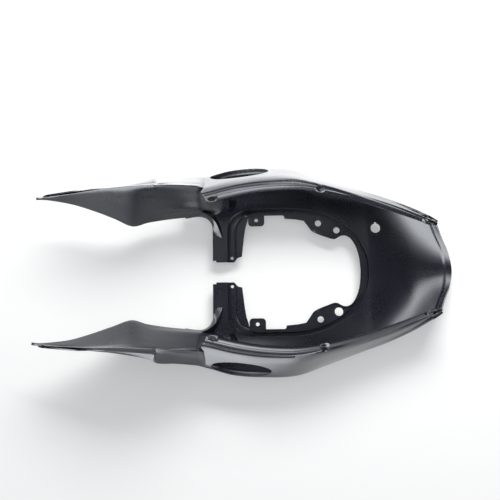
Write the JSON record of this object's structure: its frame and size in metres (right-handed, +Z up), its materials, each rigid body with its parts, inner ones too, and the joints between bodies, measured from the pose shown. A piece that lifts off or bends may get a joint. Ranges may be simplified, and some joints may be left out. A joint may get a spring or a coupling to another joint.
{
  "type": "motorcycle tail fairing",
  "caption": "Thin moulded tail fairing for a motorcycle, lying upside down: a tray with a central opening, turned-in flanks, a hump at the tail and two long side arms.",
  "frame": {"origin": "centre of the bounding box's footprint, at the level of the lowest point, where the upturned fairing rests on its hump", "axes": "+X towards the tail, +Y across towards the side with the seat lock hole, +Z up as the fairing lies in the picture, which is down on the motorcycle"},
  "size_m": [0.829, 0.423, 0.1177],
  "materials": {
    "black_moulding": "gloss black outside and on the turned-in flange, dull grey black inside"
  },
  "bodies": {
    "root": {"tail_fairing": "black_moulding"}
  },
  "joints": []
}
